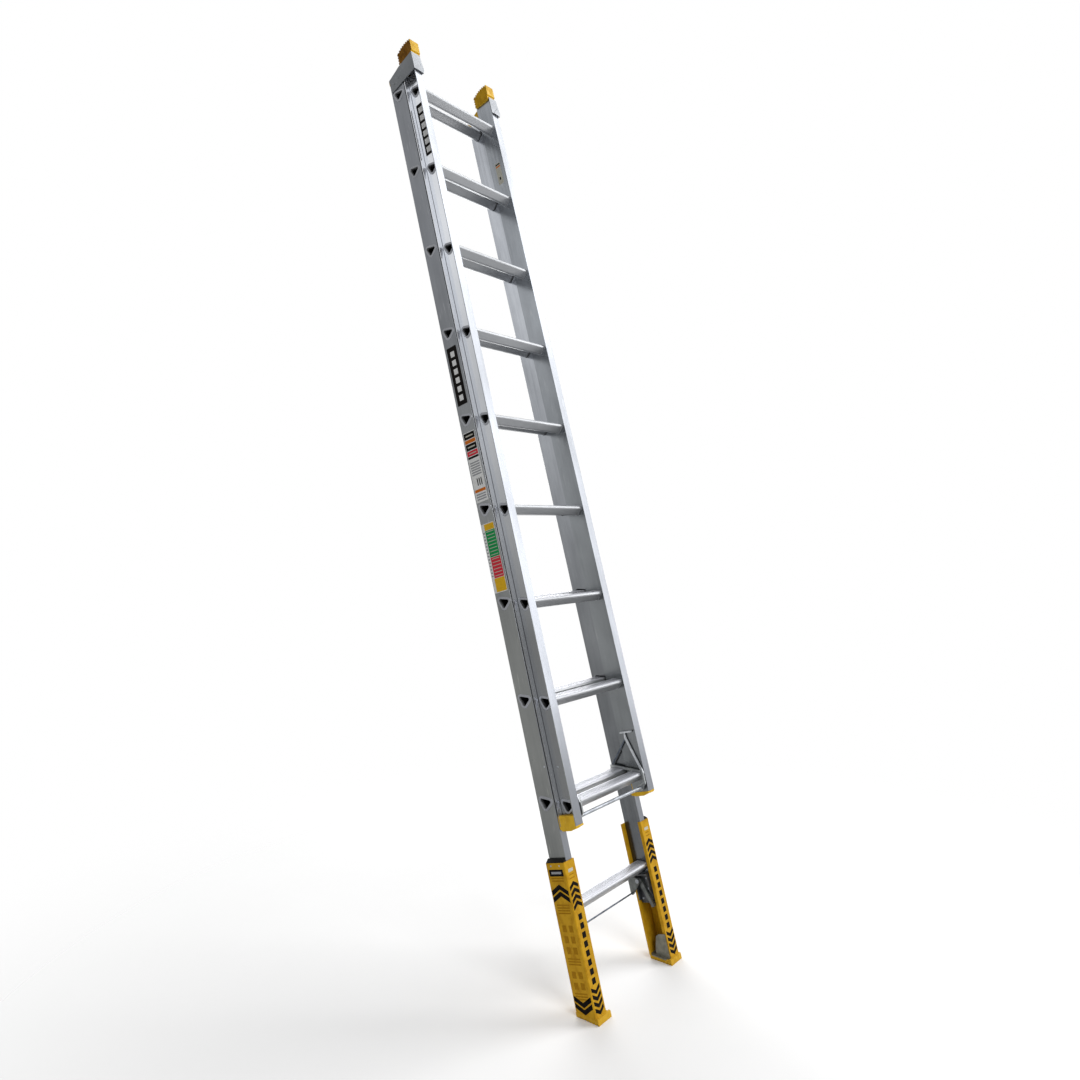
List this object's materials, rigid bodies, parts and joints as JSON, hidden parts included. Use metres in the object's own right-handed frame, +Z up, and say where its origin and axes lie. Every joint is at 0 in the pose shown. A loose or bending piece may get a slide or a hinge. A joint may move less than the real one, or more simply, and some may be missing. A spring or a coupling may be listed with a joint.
{
  "type": "extension ladder",
  "caption": "Two-section aluminium extension ladder with D rungs, gravity rung locks, guide brackets, wall grips and yellow levelling legs on toothed racks.",
  "frame": {"origin": "on the ground under the middle of the ladder, below the lowest edge of the foot pads", "axes": "+Z up along the stiles, +X to the climber's right, +Y to the rear (the wall side)"},
  "size_m": [0.472, 0.1508, 3.2123],
  "materials": {
    "aluminium": "satin extruded",
    "yellow_plastic": "moulded matt",
    "yellow_paint": "powder coat",
    "black_plastic": "matt",
    "dark_steel": "dark grey",
    "zinc_steel": "zinc plated"
  },
  "bodies": {
    "base": {"base_stile_left": "aluminium", "base_stile_right": "aluminium", "base_rung_1": "aluminium", "base_rung_2": "aluminium", "base_rung_3": "aluminium", "base_rung_4": "aluminium", "base_rung_5": "aluminium", "base_rung_6": "aluminium", "base_rung_7": "aluminium", "base_rung_8": "aluminium", "base_rung_9": "aluminium", "base_rung_10": "aluminium", "base_cap_left": "yellow_plastic", "base_cap_right": "yellow_plastic", "guide_bracket_left": "dark_steel", "guide_bracket_right": "dark_steel", "bracket_rivets": "zinc_steel", "leveller_housing_left": "dark_steel", "leveller_housing_right": "dark_steel", "housing_bolts": "zinc_steel", "pawl_pin_left": "zinc_steel", "pawl_pin_right": "zinc_steel"},
    "fly": {"fly_stile_left": "aluminium", "fly_stile_right": "aluminium", "fly_rung_1": "aluminium", "fly_rung_2": "aluminium", "fly_rung_3": "aluminium", "fly_rung_4": "aluminium", "fly_rung_5": "aluminium", "fly_rung_6": "aluminium", "fly_rung_7": "aluminium", "fly_rung_8": "aluminium", "fly_rung_9": "aluminium", "wall_grip_left": "yellow_plastic", "wall_grip_right": "yellow_plastic", "fly_foot_cap_left": "yellow_plastic", "fly_foot_cap_right": "yellow_plastic"},
    "lock": {"lock_rod": "zinc_steel", "lock_hook_left": "dark_steel", "lock_hook_right": "dark_steel", "lock_frame_left": "zinc_steel", "lock_frame_right": "zinc_steel"},
    "leg_left": {"leg_left": "yellow_paint", "leg_liner_left": "black_plastic", "rack_left": "dark_steel", "foot_plate_left": "dark_steel", "foot_pad_left": "yellow_plastic"},
    "leg_right": {"leg_right": "yellow_paint", "leg_liner_right": "black_plastic", "rack_right": "dark_steel", "foot_plate_right": "dark_steel", "foot_pad_right": "yellow_plastic"},
    "release": {"pawl_left": "dark_steel", "pawl_right": "dark_steel", "pawl_spring_left": "zinc_steel", "pawl_spring_right": "zinc_steel", "release_rod": "zinc_steel"}
  },
  "joints": [
    {"name": "fly_slide", "type": "slide", "parent": "base", "child": "fly", "axis": [0, 0, 1], "range_m": [0, 1.83]},
    {"name": "lock_swing", "type": "hinge", "parent": "fly", "child": "lock", "pos_m": [0, -0.05065, 0.5543], "axis": [1, 0, 0], "range_deg": [0, 48]},
    {"name": "leg_left_slide", "type": "slide", "parent": "base", "child": "leg_left", "axis": [0, 0, -1], "range_m": [0, 0.12]},
    {"name": "leg_right_slide", "type": "slide", "parent": "base", "child": "leg_right", "axis": [0, 0, -1], "range_m": [0, 0.12]},
    {"name": "pawl_release", "type": "hinge", "parent": "base", "child": "release", "pos_m": [0, 0.03935, 0.2633], "axis": [1, 0, 0], "range_deg": [0, 8], "stiffness_Nm_per_rad": 1.5, "springref_deg": -17.19}
  ]
}
